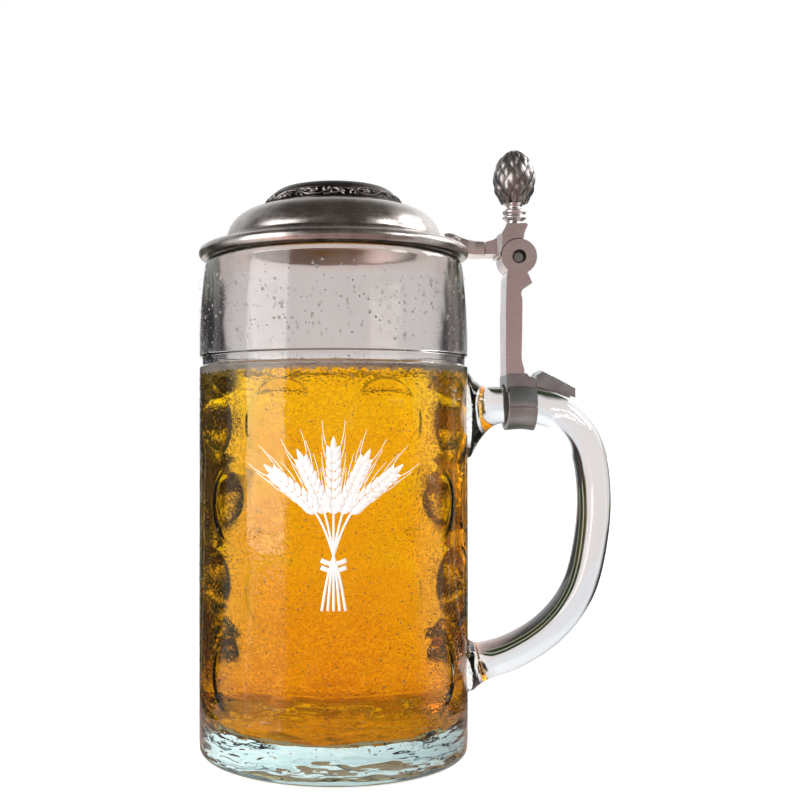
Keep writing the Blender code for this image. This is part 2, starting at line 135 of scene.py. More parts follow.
class Nodes:
    """A node tree, with short calls that add the nodes of a pattern."""

    def __init__(self, tree):
        self.tree = tree

    def node(self, kind, inputs=None, **settings):
        made = self.tree.nodes.new("ShaderNode" + kind)
        for key, value in settings.items():
            setattr(made, key, value)
        for key, value in (inputs or {}).items():
            if isinstance(value, bpy.types.NodeSocket):
                self.tree.links.new(value, made.inputs[key])
            else:
                made.inputs[key].default_value = value
        return made

    def maths(self, operation, first, second=0.0):
        return self.node("Math", {0: first, 1: second}, operation=operation).outputs[0]

    def times(self, first, second):
        return self.maths("MULTIPLY", first, second)

    def split(self, vector):
        return self.node("SeparateXYZ", {0: vector}).outputs

    def length(self, vector):
        return self.node("VectorMath", {0: vector}, operation="LENGTH").outputs["Value"]

    def stretch(self, vector, factors):
        return self.node("VectorMath", {0: vector, 1: factors}, operation="MULTIPLY").outputs[0]

    def noise(self, vector, scale, detail=3.0, roughness=0.55):
        settings = {"Vector": vector, "Scale": scale, "Detail": detail, "Roughness": roughness}
        return self.node("TexNoise", settings).outputs["Fac"]

    def span(self, value, low, high, start=0.0, end=1.0):
        """Maps value from start..end to low..high, clamped."""
        return self.node("MapRange", {"Value": value, 1: start, 2: end, 3: low, 4: high}).outputs[0]

    def blend(self, share, first, second):
        """Colour from first (share 0) to second (share 1)."""
        inputs = {0: share, 6: first, 7: second}
        for key in (6, 7):
            if isinstance(inputs[key], tuple):
                inputs[key] = (*inputs[key], 1)
        return self.node("Mix", inputs, data_type="RGBA").outputs[2]

    def show(self, lit, seen, output):
        """Gives the camera one shader to see and everything else another."""
        camera_ray = self.node("LightPath").outputs["Is Camera Ray"]
        mixed = self.node("MixShader", {0: camera_ray, 1: lit.outputs[0], 2: seen.outputs[0]})
        self.tree.links.new(mixed.outputs[0], output.inputs[0])


class Look(Nodes):
    """A Principled material and its pattern."""

    def __init__(self, name, **sockets):
        self.material = bpy.data.materials.new(name)
        self.material.use_nodes = True
        super().__init__(self.material.node_tree)
        self.shader = self.tree.nodes["Principled BSDF"]
        self.output = self.tree.nodes["Material Output"]
        for socket, value in sockets.items():
            self.shader.inputs[socket.replace("_", " ")].default_value = value

    def place(self):
        return self.node("TexCoord").outputs["Object"]

    def turned_place(self, around, along):
        """Coordinates (radius, angle, height) round the vertical axis, for marks left by a lathe."""
        x, y, z = self.split(self.place())
        radius = self.length(self.node("CombineXYZ", {0: x, 1: y}).outputs[0])
        angle = self.maths("ARCTAN2", y, x)
        parts = {0: self.times(radius, along), 1: self.times(angle, around), 2: self.times(z, along)}
        return self.node("CombineXYZ", parts).outputs[0]

    def bump(self, height, strength, distance, under=None):
        settings = {"Height": height, "Strength": strength, "Distance": distance}
        if under is not None:
            settings["Normal"] = under
        return self.node("Bump", settings).outputs[0]

    def feed(self, socket, output):
        self.tree.links.new(output, self.shader.inputs[socket])

    def absorb(self, colour, density):
        volume = self.node("VolumeAbsorption", {"Color": (*colour, 1.0), "Density": density})
        self.tree.links.new(volume.outputs[0], self.output.inputs["Volume"])


# ---- materials


def glass_look():
    """Pressed glass: soft waves, mist above the beer, beads of dew below it with painted dark rims, a
    tinted foot and handle.
    """
    look = Look("pressed_glass", IOR=1.56, Transmission_Weight=1.0)
    place = look.place()
    height = look.split(place)[2]
    radius = look.length(look.stretch(place, (1.0, 1.0, 0.0)))
    # masks, 1 where they hold
    inner = look.span(radius, 1.0, 0.0, MUG_RADIUS - 1.6 * MM, MUG_RADIUS - 1.2 * MM)
    wet = look.times(inner, look.span(height, 1.0, 0.0, BEER_LEVEL, BEER_LEVEL + 0.1 * MM))
    handle = look.span(radius, 0.0, 1.0, MUG_RADIUS + 2 * MM, MUG_RADIUS + 8 * MM)
    foot = look.span(height, 1.0, 0.0, 8 * MM, 13 * MM)
    mist = look.span(height, 0.0, 1.0, BEER_LEVEL, BEER_LEVEL + 4 * MM)
    # the wall that touches beer mirrors almost nothing
    mirror = look.blend(handle, (0.45, 0.45, 0.45), (1, 1, 1))
    look.feed("Specular Tint", look.blend(wet, mirror, (0.05, 0.05, 0.05)))
    uneven = look.noise(look.stretch(place, (1.0, 1.0, 0.3)), 90.0, 2.0)
    misted = look.blend(uneven, (0.74, 0.70, 0.69), (0.80, 0.76, 0.75))
    clear = look.blend(foot, (1, 1, 1), (0.60, 0.69, 0.70))
    clear = look.blend(handle, clear, (0.82, 0.81, 0.84))
    # beads of dew in patches, each with a painted dark rim that stands for the light a real drop bends
    # away at its edge
    dew = look.node("TexVoronoi", {"Vector": place, "Scale": 900.0}).outputs["Distance"]
    patchy = look.span(look.noise(place, 38.0, 3.0), 0.25, 1.0, 0.35, 0.65)
    damp = look.span(height, patchy, 0.0, BEER_LEVEL - 2 * MM, BEER_LEVEL + 2 * MM)
    dry = look.maths("MAXIMUM", look.maths("MAXIMUM", inner, handle), foot)
    damp = look.times(damp, look.maths("SUBTRACT", 1.0, dry))
    beads = look.times(look.span(dew, 1.0, 0.0, 0.05, 0.45), damp)
    rim_distance = look.maths("ABSOLUTE", look.maths("SUBTRACT", dew, 0.36))
    painted_rim_shade = look.times(look.span(rim_distance, 1.0, 0.0, 0.03, 0.15), damp)
    look.feed("Base Color", look.blend(painted_rim_shade, look.blend(mist, clear, misted), (0.62, 0.46, 0.34)))
    # flow marks: broad waves all over, swirls in the thick base
    waves = look.noise(look.stretch(place, (1.0, 1.0, 0.6)), 70.0, 2.0, 0.4)
    swirls = look.noise(look.stretch(place, (1.0, 1.0, 3.2)), 55.0, 2.0, 0.5)
    low_part = look.span(height, 1.0, 0.0, 16 * MM, 26 * MM)
    normal = look.bump(waves, 0.30, 0.8 * MM)
    normal = look.bump(look.times(swirls, low_part), 0.5, 2.0 * MM, normal)
    look.feed("Normal", look.bump(beads, 0.5, 0.08 * MM, normal))
    polish = look.span(look.noise(place, 45.0, 4.0, 0.6), 0.0, 0.015, 0.50, 0.80)
    fogged = look.span(mist, polish, 0.06)
    look.feed("Roughness", look.maths("MAXIMUM", fogged, look.span(handle, 0.0, 0.07)))
    look.absorb((0.0, 0.72, 0.66), 2.6)
    return look.material


def beer_look():
    """Clear beer, paler towards its surface and darker, more orange towards the bottom as painted shade.
    """
    look = Look("golden_beer", IOR=1.31, Transmission_Weight=1.0, Specular_Tint=(0.05, 0.05, 0.05, 1))
    look.feed("Roughness", look.span(look.noise(look.place(), 60.0), 0.0, 0.02))
    # painted shade: the colour darkens and turns orange from the surface down to 20 mm
    depth = look.span(look.split(look.place())[2], 1.0, 0.0, 20 * MM, BEER_LEVEL)
    look.feed("Base Color", look.blend(depth, (1, 1, 1), (0.86, 0.60, 0.3)))
    look.absorb((0.996, 0.914, 0.0), 110.0)
    return look.material


def speckled_look(name, scale, rough, colours=None, bump=None, **sockets):
    """A material that varies with one fine noise."""
    look = Look(name, **sockets)
    shade = look.noise(look.place(), scale)
    look.feed("Roughness", look.span(shade, *rough))
    if colours:
        look.feed("Base Color", look.blend(shade, *colours))
    if bump:
        look.feed("Normal", look.bump(shade, *bump))
    return look.material


def water_look():
    return speckled_look(
        "condensed_water", 300.0, (0.0, 0.06), Base_Color=(1, 1, 1, 1), IOR=1.33, Transmission_Weight=1.0
    )


def foam_look():
    colours = ((0.93, 0.92, 0.88), (1.0, 1.0, 0.98))
    return speckled_look("beer_foam", 500.0, (0.45, 0.65), colours, IOR=1.33, Transmission_Weight=0.7)


def print_look():
    """Fired white enamel, slightly uneven; its faint glow keeps it white in front of the beer."""
    colours = ((0.90, 0.90, 0.88), (0.97, 0.97, 0.96))
    glow = {"Emission_Color": (1, 1, 0.98, 1), "Emission_Strength": 0.45}
    return speckled_look(
        "white_enamel", 700.0, (0.25, 0.45), colours, (0.15, 0.02 * MM), Coat_Weight=0.3, **glow
    )


def cushion_look():
    return speckled_look(
        "clear_cushion", 900.0, (0.35, 0.6), None, (0.2, 0.03 * MM),
        Base_Color=(0.85, 0.86, 0.84, 1), Transmission_Weight=0.4,
    )


GRAINS = {
    # scale, detail and strength of the streaks, and how they stretch
    "drawn": (6500.0, 3.0, 0.10, (0.05, 1.0, 1.0)),
    "upright": (6500.0, 3.0, 0.22, (1.0, 1.0, 0.05)),
    "cast": (1400.0, 4.0, 0.12, None),
    "turned": (4.0, 4.0, 0.16, None),
}


def pewter_look(name, grain, light, dark, rough):
    """Brushed pewter: streaked, blotched with patina, lighter along its edges by rubbed wear and a painted
    highlight, and darker in crannies by patina and painted shade.
    """
    look = Look(name, Metallic=1.0)
    place = look.place()
    scale, detail, strength, factors = GRAINS[grain]
    marked = place
    if grain == "turned":
        marked = look.turned_place(1.2, 900.0)
    elif factors:
        marked = look.stretch(place, factors)
    streaks = look.noise(marked, scale, detail, 0.6)
    patina = look.noise(place, 130.0, 5.0, 0.62)
    tone = look.blend(look.span(patina, 0.0, 1.0, 0.38, 0.68), dark, light)
    shaded = look.stretch(tone, look.span(streaks, 0.90, 1.05, 0.3, 0.7))
    # painted highlight, partly rubbed wear: the colour turns pale along every edge that the Bevel node
    # finds
    softened = look.node("Bevel", {"Radius": 0.16 * MM}, samples=3).outputs[0]
    true_normal = look.node("NewGeometry").outputs["True Normal"]
    across = look.node("VectorMath", {0: softened, 1: true_normal}, operation="DOT_PRODUCT")
    edge = look.span(across.outputs["Value"], 0.5, 0.0, 0.80, 0.99)
    colour = look.blend(edge, shaded, (0.86, 0.83, 0.80))
    # painted shade, partly patina: the colour turns almost black in crannies and bores that ambient
    # occlusion finds
    shelter = look.node("AmbientOcclusion", {"Distance": 2.0 * MM}, samples=4, only_local=True)
    cranny_patina_and_shade = look.span(shelter.outputs["AO"], 0.92, 0.0, 0.35, 0.85)
    look.feed("Base Color", look.blend(cranny_patina_and_shade, colour, (0.06, 0.05, 0.045)))
    look.feed("Roughness", look.span(look.maths("ADD", patina, streaks), *rough, 0.75, 1.25))
    dents = look.bump(look.noise(place, 260.0, 3.0, 0.5), 0.06, 0.10 * MM)
    look.feed("Normal", look.bump(streaks, strength, 0.02 * MM, dents))
    return look.material


# ---- mesh helpers


def placed(name, data, location=(0, 0, 0)):
    made = bpy.data.objects.new(name, data)
    bpy.context.scene.collection.objects.link(made)
    made.location = location
    return made


def from_bmesh(name, bm, look=None, sharp=None):
    """A smooth-shaded object, with edges sharper than so many degrees marked sharp."""
    bmesh.ops.recalc_face_normals(bm, faces=bm.faces)
    mesh = bpy.data.meshes.new(name)
    bm.to_mesh(mesh)
    bm.free()
    mesh.shade_smooth()
    if sharp is not None:
        mesh.set_sharp_from_angle(angle=math.radians(sharp))
    if look is not None:
        mesh.materials.append(look)
    return placed(name, mesh)


def add_rings(bm, rings, loop=False):
    """Skins rings of points, each with the same count or a single point, into a bmesh."""
    made = [[bm.verts.new(point) for point in ring] for ring in rings]
    pairs = list(zip(made, made[1:]))
    if loop:
        pairs.append((made[-1], made[0]))
    for first, second in pairs:
        m, n = len(first), len(second)
        for i in range(max(m, n)):
            corners = (first[i % m], first[(i + 1) % m], second[(i + 1) % n], second[i % n])
            bm.faces.new(dict.fromkeys(corners))
    if not loop:
        for ring in (made[0], made[-1]):
            if len(ring) > 2:
                bm.faces.new(ring)


def skinned(name, rings, look=None, sharp=None, loop=False):
    bm = bmesh.new()
    add_rings(bm, rings, loop)
    return from_bmesh(name, bm, look, sharp)


def on_circle(radius, angle):
    return radius * math.cos(angle), radius * math.sin(angle)


def circle_points(radius, height, segments, centre_x=0.0):
    if radius == 0:
        return [(centre_x, 0, height)]
    spots = [on_circle(radius, math.tau * i / segments) for i in range(segments)]
    return [(centre_x + x, y, height) for x, y in spots]


def turned(name, profile, look=None, segments=160, centre_x=0.0, loop=False, sharp=40):
    """Turns an (r, z) profile about a vertical axis."""
    rings = [circle_points(radius, height, segments, centre_x) for radius, height in profile]
    return skinned(name, rings, look, sharp, loop)


def arc(centre_r, centre_z, radius, start_deg, end_deg, steps):
    turn = end_deg - start_deg
    spots = [on_circle(radius, math.radians(start_deg + turn * i / steps)) for i in range(steps + 1)]
    return [(centre_r + r, centre_z + z) for r, z in spots]


def rounded(points, closed=False, steps=5):
    """Rounds the corners of an outline in mm. A corner is (x, z, rounding), or (x, z) to stay sharp."""
    result = []
    last = len(points) - 1
    for i, point in enumerate(points):
        here = Vector(point[:2])
        reach = point[2] if len(point) > 2 else 0.0
        if reach == 0 or (not closed and i in (0, last)):
            result.append(tuple(here * MM))
            continue
        before = Vector(points[i - 1][:2])
        after = Vector(points[(i + 1) % len(points)][:2])
        start = here + (before - here).normalized() * min(reach, (before - here).length * 0.49)
        end = here + (after - here).normalized() * min(reach, (after - here).length * 0.49)
        for k in range(steps + 1):
            t = k / steps
            result.append(tuple(((1 - t) ** 2 * start + 2 * t * (1 - t) * here + t * t * end) * MM))
    return result


def prism(name, outline, half_depth, look=None, centre_y=0.0):
    """Extrudes an (x, z) outline along Y."""
    rings = [[(x, centre_y + side * half_depth, z) for x, z in outline] for side in (-1, 1)]
    return skinned(name, rings, look, 30)


def disc(name, radius, centre_y, half_width):
    """A cylinder on the hinge axis."""
    segments = 64
    spots = [on_circle(radius, math.tau * i / segments) for i in range(segments)]
    outline = [(HINGE_X + x, HINGE_Z + z) for x, z in spots]
    return prism(name, outline, half_width, centre_y=centre_y)


def box(name, low, high):
    outline = ((low[0], low[2]), (high[0], low[2]), (high[0], high[2]), (low[0], high[2]))
    return prism(name, outline, (high[1] - low[1]) / 2, centre_y=(low[1] + high[1]) / 2)


def lofted(stations, count, corners):
    """Rings along X from stations (x, *sizes) in mm; corners(*sizes) outlines the section there."""
    rings = []
    for i in range(count):
        at = (len(stations) - 1) * i / (count - 1)
        k = min(int(at), len(stations) - 2)
        x, *sizes = (a + (b - a) * (at - k) for a, b in zip(stations[k], stations[k + 1]))
        rings.append([(x * MM, y, z) for y, z in rounded(corners(*sizes), closed=True, steps=3)])
    return rings


def applied(piece):
    """Replaces a piece's mesh by the result of its modifiers."""
    graph = bpy.context.evaluated_depsgraph_get()
    mesh = bpy.data.meshes.new_from_object(piece.evaluated_get(graph))
    piece.modifiers.clear()
    piece.data = mesh
    return piece


def combined(piece, steps):
    """Runs Booleans, given as (other, operation), one after the other and removes the helpers."""
    for other, operation in steps:
        boolean = piece.modifiers.new(operation, "BOOLEAN")
        boolean.operation = operation
        boolean.solver = "EXACT"
        boolean.object = other
    applied(piece)
    for other, _ in steps:
        bpy.data.objects.remove(other, do_unlink=True)
    return piece


def repainted(piece, look):
    """Leaves a piece with one material, after a Boolean brought in its helpers' empty slots."""
    piece.data.materials.clear()
    piece.data.materials.append(look)


def bevelled(piece, width):
    bevel = piece.modifiers.new("Edges", "BEVEL")
    bevel.width = width
    bevel.segments = 3
    bevel.limit_method = "ANGLE"
    bevel.angle_limit = math.radians(35)
    bevel.harden_normals = True
    return piece


def shown(piece, body, slot, *nodes):
    """Rides a piece on its body and hides the CAD nodes that it stands for; the slot argument is not used.
    """
    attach(piece, body)
    if nodes:
        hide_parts(*nodes)


# ---- handle curve


def spline_point(points, at):
    """Catmull-Rom curve through points; at runs from 0 to len(points) - 1."""
    last = len(points) - 1
    i = min(int(at), last - 1)
    t = at - i
    p0, p1, p2, p3 = (Vector(points[min(max(i + k, 0), last)]) for k in (-1, 0, 1, 2))
    return 0.5 * (
        2 * p1
        + (p2 - p0) * t
        + (2 * p0 - 5 * p1 + 4 * p2 - p3) * t**2
        + (3 * p1 - p0 - 3 * p2 + p3) * t**3
    )


def curve_step(points, at, step=0.05):
    """The point at a place on a curve, and a short step along the curve there."""
    ahead = spline_point(points, min(len(points) - 1, at + step))
    return spline_point(points, at), ahead - spline_point(points, max(0, at - step))


def root_flare(distance, height, reach):
    """Growth of the handle where it runs into the wall."""
    return height * max(0.0, 1 - distance / reach) ** 2


def handle_section(at, offset=0.0, sides=48):
    """Ring of points round the handle, moved outward by offset."""
    centre, along = curve_step(HANDLE_POINTS, at, 0.02)
    along.normalize()
    normal = Vector((-along.y, along.x))
    middle = 0.5 * (len(HANDLE_POINTS) - 1)
    swelling = 1.5 if at < middle else 3
    half = HANDLE_HALF_MIDDLE + HANDLE_GROWTH * (abs(at - middle) / middle) ** swelling
    from_wall = max(0.0, centre.x - MUG_RADIUS)
    if at < middle:
        flares = ((6.5 * MM, 6.5 * MM), (10.5 * MM, 11.0 * MM))
    else:
        flares = ((2.4 * MM, 7.5 * MM), (5.0 * MM, 4.5 * MM))
    outer, inner = (half + root_flare(from_wall, *flare) for flare in flares)
    width = HANDLE_HALF_WIDTH + root_flare(from_wall, 3.0 * MM, 8.0 * MM)
    ring = []
    for i in range(sides):
        side, rise = on_circle(1, math.tau * i / sides)
        rise *= (outer if rise > 0 else inner) + offset
        ring.append((centre.x + normal.x * rise, side * (width + offset), centre.y + normal.y * rise))
    return ring


def handle_sections(start, end, count, offset, sides=48):
    return [handle_section(start + (end - start) * i / (count - 1), offset, sides) for i in range(count)]


def handle_position_at_x(x):
    """Where the upper part of the handle's curve reaches x, by halving."""
    low, high = 0.0, 3.0
    for _ in range(40):
        middle = (low + high) / 2
        if spline_point(HANDLE_POINTS, middle).x < x:
            low = middle
        else:
            high = middle
    return low


# ---- glass, beer and water


def dimple_depth(angle, height):
    """How far the bore is pressed out; neighbouring dimples meet in a narrow rounded ridge."""
    column_step = math.tau / DIMPLE_COLUMNS
    total = 0.0
    for row, row_height in enumerate(DIMPLE_ROW_HEIGHTS):
        upward = (height - row_height) / DIMPLE_HALF_HEIGHT
        if abs(upward) > 1.6:
            continue
        shift = 0.0 if row % 2 == 0 else column_step / 2
        nearest = round((angle - shift) / column_step) * column_step + shift
        for centre in (nearest - column_step, nearest, nearest + column_step):
            across = BORE_RADIUS * math.remainder(angle - centre, math.tau) / DIMPLE_HALF_WIDTH
            total += math.exp(DIMPLE_RIDGE * (1 - (across**2 + upward**2) ** DIMPLE_RIM))
    return DIMPLE_DEPTH * math.log1p(total) / DIMPLE_RIDGE


def wall_ring(height, offset=0.0):
    """Ring of points on the inner wall, moved outward by offset."""
    ring = []
    for i in range(MUG_SEGMENTS):
        angle = math.tau * i / MUG_SEGMENTS
        radius = BORE_RADIUS + dimple_depth(angle, height) + offset
        ring.append((*on_circle(radius, angle), height))
    return ring


def dimpled_rings(offset=0.0):
    """The dimpled part of the inner wall, from its lowest ring to its highest."""
    low, high = DIMPLE_ZONE
    rows = 150
    return [wall_ring(low + (high - low) * i / rows, offset) for i in range(rows + 1)]


def mug_circles(profile):
    return [circle_points(radius, height, MUG_SEGMENTS) for radius, height in profile]


def floor_corner(start_deg, end_deg, growth=0.0):
    """The fillet between the cup's floor and its wall, moved outward by growth."""
    centre = (BORE_RADIUS - FLOOR_FILLET, FLOOR_HEIGHT + FLOOR_FILLET)
    return arc(*centre, FLOOR_FILLET + growth, start_deg, end_deg, 10)


def mug_rings():
    outside = rounded([(0, 0.7), (33.0, 0.7, 4), (36.5, 0, 2), (40.4, 0)], steps=6)
    outside += arc(40.4 * MM, 2.3 * MM, 2.3 * MM, -80, 0, 8)
    outside += rounded([
        (42.7, 3.0), (42.8, 4.6, 1), (42.8, 10), (42.8, 20), (42.8, 30), (42.8, 60), (42.8, 90),
        (42.8, 115), (42.8, 121.7, 0.15), (41.9, 122.2, 0.2), (41.9, 124.8, 0.2),
        (42.7, 125.3, 0.3), (42.8, 130.0, 3.0), (42.3, 142.0, 5.0), (41.3, 152.0, 2.0),
        (40.9, 154.6, 1.0), (40.1, 155.7, 0.5), (39.4, 156.0, 0.3), (38.8, 155.7, 0.4),
        (38.4, 154.6, 0.5), (38.3, 150.0), (38.3, 140.0), (38.3, 130.0), (38.3, 122.0),
    ], steps=6)
    inside = floor_corner(-8, -90)
    inside += [(r * MM, FLOOR_HEIGHT) for r in (28, 20, 12, 5, 0)]
    return mug_circles(outside) + dimpled_rings()[::-1] + mug_circles(inside)


def glass_mug(look):
    mug = skinned("glass_mug_fine", mug_rings(), look, sharp=40)
    sections = handle_sections(0, len(HANDLE_POINTS) - 1, 150, HANDLE_SETBACK)
    combined(mug, [(skinned("handle_shape", sections), "UNION")])
    mug.data.shade_smooth()
    mug.data.set_sharp_from_angle(angle=math.radians(50))
    shown(mug, MUG, "clear_glass", "glass_mug")


def beer(look):
    """The beer fills the cup and its dimples, and creeps up the wall a little at its edge."""
    bottom = [(0.0, FLOOR_HEIGHT - BEER_OVERLAP)] + floor_corner(-90, -8, BEER_OVERLAP)
    radius = BORE_RADIUS + BEER_OVERLAP
    top = [(radius, BEER_LEVEL - 1.5 * MM), (radius, BEER_LEVEL + 1.0 * MM)]
    top += [
        (radius - across * MM, BEER_LEVEL + rise * MM)
        for across, rise in ((0.3, 0.85), (0.6, 0.5), (1.1, 0.2), (1.8, 0.05), (3.0, 0.0))
    ]
    top += [(20 * MM, BEER_LEVEL), (0.0, BEER_LEVEL)]
    rings = mug_circles(bottom) + dimpled_rings(BEER_OVERLAP) + mug_circles(top)
    shown(skinned("beer", rings, look, 50), MUG, "clear_glass")


def drop_rings(centre, across, outward, radius, height):
    """Rings of a shallow dome that sits on a wall, its base sunk a little into it."""
    rings = []
    sides = 6 if radius < 0.25 * MM else 8
    for share, rise in ((1.0, -0.25), (0.85, 0.5), (0.45, 0.9)):
        ring = []
        for i in range(sides):
            u, v = on_circle(radius * share, math.tau * i / sides)
            ring.append(centre + across * u + Vector((0, 0, v)) + outward * (height * rise))
        rings.append(ring)
    return rings + [[centre + outward * height]]


def wall_drops(name, look, spots, inside=False, flatness=0.4):
    """Domes at (angle, height, radius) spots on the outer or the inner wall."""
    bm = bmesh.new()
    for angle, height, radius in spots:
        out = Vector((math.cos(angle), math.sin(angle), 0))
        across = Vector((-math.sin(angle), math.cos(angle), 0))
        centre = out * (BORE_RADIUS + 0.5 * MM if inside else MUG_RADIUS) + Vector((0, 0, height))
        add_rings(bm, drop_rings(centre, across, -out if inside else out, radius, radius * flatness))
    return from_bmesh(name, bm, look)


def scattered(count, low, high, smallest, largest, power):
    """Random (angle, height, radius) spots, mostly small; none where the handle shades the wall."""
    spots = []
    while len(spots) < count:
        angle = random.uniform(-math.pi, math.pi)
        height = random.uniform(low, high)
        radius = smallest + (largest - smallest) * random.random() ** power
        if abs(angle) >= HANDLE_SHADE or 50 * MM < height < 92 * MM:
            spots.append((angle, height, radius))
    return spots


def condensation(look, bubble_look):
    spots = scattered(9000, 9 * MM, 119 * MM, 0.09 * MM, 0.32 * MM, 4.0)
    shown(wall_drops("condensation", look, spots, flatness=0.24), MUG, "clear_glass")
    spots = scattered(520, 128 * MM, 151 * MM, 0.22 * MM, 0.55 * MM, 3.0)
    shown(wall_drops("band_drops", bubble_look, spots, flatness=0.10), MUG, "clear_glass")


def foam_reach(angle):
    """How high the film of foam stands on the wall above the beer."""
    waves = 0.5 * math.sin(3 * angle + 1) + 0.3 * math.sin(7 * angle) + 0.2 * math.sin(17 * angle + 2)
    return (1.9 + 0.8 * waves) * MM


def foam(look):
    """Thin film of foam left along the wall, ragged at its upper edge, with bubbles on it."""
    sections = []
    for i in range(MUG_SEGMENTS):
        angle = math.tau * i / MUG_SEGMENTS
        reach = foam_reach(angle) * random.uniform(0.85, 1.1)
        low = -(0.2 + 1.1 * random.random() ** 2) * MM
        section = ((0.30, low), (0.30, reach), (0.20, reach), (0.20, low))
        sections.append(
            [(*on_circle(BORE_RADIUS + out * MM, angle), BEER_LEVEL + rise) for out, rise in section]
        )
    shown(skinned("foam_film", sections, look, 60, loop=True), MUG, "clear_glass")
    spots = []
    for _ in range(2600):
        angle = random.uniform(-math.pi, math.pi)
        height = BEER_LEVEL + foam_reach(angle) * random.gauss(0.1, 0.75)
        spots.append((angle, height, random.uniform(0.08, 0.24) * MM))
    shown(wall_drops("foam_edge", look, spots, inside=True, flatness=0.8), MUG, "clear_glass")


def print_place(across, height, lift):
    """A point of the print on the front of the mug, by its arc length across and its height."""
    angle = -math.pi / 2 + across * MM / MUG_RADIUS
    return Vector((*on_circle(MUG_RADIUS + lift, angle), PRINT_CENTRE + height * MM))


def add_printed(bm, outline):
    """A thin raised patch of enamel with a flat outline in millimetres."""
    add_rings(bm, [[print_place(u, v, lift) for u, v in outline] for lift in (-PRINT_SINK, PRINT_RISE)])


def add_line(bm, points, start_width, end_width, stations):
    """A tapering printed line along a curve."""
    rings = []
    for i in range(stations):
        t = i / (stations - 1)
        here, along = curve_step(points, (len(points) - 1) * t)
        side = Vector((-along.y, along.x)).normalized() * (start_width + (end_width - start_width) * t) / 2
        a, b = here + side, here - side
        corners = ((a, -PRINT_SINK), (a, PRINT_RISE), (b, PRINT_RISE), (b, -PRINT_SINK))
        rings.append([print_place(p.x, p.y, lift) for p, lift in corners])
    add_rings(bm, rings)


def add_grain(bm, root, direction, length, half_width):
    """A barley grain: a pointed drop from its root."""
    along = direction.normalized()
    side = Vector((-along.y, along.x))
    widths = [(i / 8, half_width * math.sin(math.pi * (i / 8) ** 0.75)) for i in range(1, 8)]
    outline = [root + along * (length * t) + side * w for t, w in widths]
    outline.append(root + along * length)
    outline += [root + along * (length * t) - side * w for t, w in reversed(widths)]
    add_printed(bm, outline + [root])


def emblem(look):
    """White enamel print on the front: a plain sheaf of five barley ears."""
    bm = bmesh.new()
    for lean in (-2, -1, 0, 1, 2):
        rise = 24.0 - 3.2 * abs(lean)
        axis = ((-1.7 * lean, -25.0), (-0.4 * lean, -12.0), (2.6 * lean, 3.0), (8.6 * lean, rise - 4.0))
        add_line(bm, axis, 0.75, 0.5, 20)
        grains = 8
        last = len(axis) - 1
        for i in range(grains):
            at = 1.95 + (last - 1.95) * i / grains
            root = spline_point(axis, at)
            along = (spline_point(axis, min(last, at + 0.05)) - root).normalized()
            size = 4.6 - 0.12 * i
            for side in (-1, 1):
                c, s = on_circle(1, math.radians(side * 30))
                way = Vector((along.x * c - along.y * s, along.x * s + along.y * c))
                add_grain(bm, root + way * 0.45, way, size, 0.85)
                if i % 2 == 1:
                    tip = root + way * (size + 0.6)
                    awn = (tip, tip + (way + along * 1.2) * 1.4, tip + (way + along * 2.2) * 2.2)
                    add_line(bm, awn, 0.28, 0.12, 5)
        add_grain(bm, spline_point(axis, last), along, 4.8, 0.85)
    for height in (-11.2, -13.2):
        sag = [(0.9 * u, height - 0.35 + 0.06 * u * u) for u in (-4, -2, 0, 2, 4)]
        add_line(bm, sag, 1.3, 1.3, 10)
    shown(from_bmesh("barley_print", bm, look), MUG, "clear_glass")


# ---- collar on the handle


def collar_solid(name, start_x, end_x, offset):
    """A slice of the handle's shape from start_x to end_x, grown by offset."""
    start = handle_position_at_x(start_x - 3 * MM)
    end = handle_position_at_x(end_x + 3 * MM)
    sleeve = skinned(name, handle_sections(start, end, 14, offset, 64))
    slab = box(name + "_slab", (start_x, -20 * MM, 90 * MM), (end_x, 20 * MM, 130 * MM))
    return combined(sleeve, [(slab, "INTERSECT")])


def clamp_half(name, node, look):
    """The saddle above the seam, with the block under the strap, or the band below it."""
    upper = node == "clamp_saddle"
    piece = collar_solid(name, CLAMP_START_X, CLAMP_END_X, CLAMP_BORE_OFFSET + CLAMP_WALL)
    steps = []
    if upper:
        outline = rounded([
            (54.4, 113, 0), (63.6, 113, 0), (63.6, 118.2, 0.6), (61.4, 118.9, 0.5),
            (60.9, 119.8, 0.4), (54.4, 119.8, 0.6),
        ], closed=True)
        steps.append((prism("saddle_block", outline, 7.4 * MM), "UNION"))
    bore = collar_solid(name + "_bore", CLAMP_START_X - 2 * MM, CLAMP_END_X + 1 * MM, CLAMP_BORE_OFFSET)
    steps.append((bore, "DIFFERENCE"))
    reach = 15 * MM
    centre_x = (CLAMP_START_X + CLAMP_END_X) / 2
    below, above = (reach, CLAMP_SEAM_HALF) if upper else (CLAMP_SEAM_HALF, reach)
    low = (centre_x - reach, -reach, CLAMP_SEAM_HEIGHT - below)
    high = (centre_x + reach, reach, CLAMP_SEAM_HEIGHT + above)
    steps.append((box(name + "_cut", low, high), "DIFFERENCE"))
    repainted(combined(piece, steps), look)
    shown(bevelled(piece, 0.22 * MM), MUG, "pewter", node)


def clamp_liner(look):
    inside, outside = LINER_OFFSETS
    liner = collar_solid("liner_fine", CLAMP_START_X, CLAMP_END_X, outside)
    bore = collar_solid("liner_bore", CLAMP_START_X - 1 * MM, CLAMP_END_X + 1 * MM, inside)
    repainted(combined(liner, [(bore, "DIFFERENCE")]), look)
    shown(liner, MUG, "cushion", "clamp_liner")


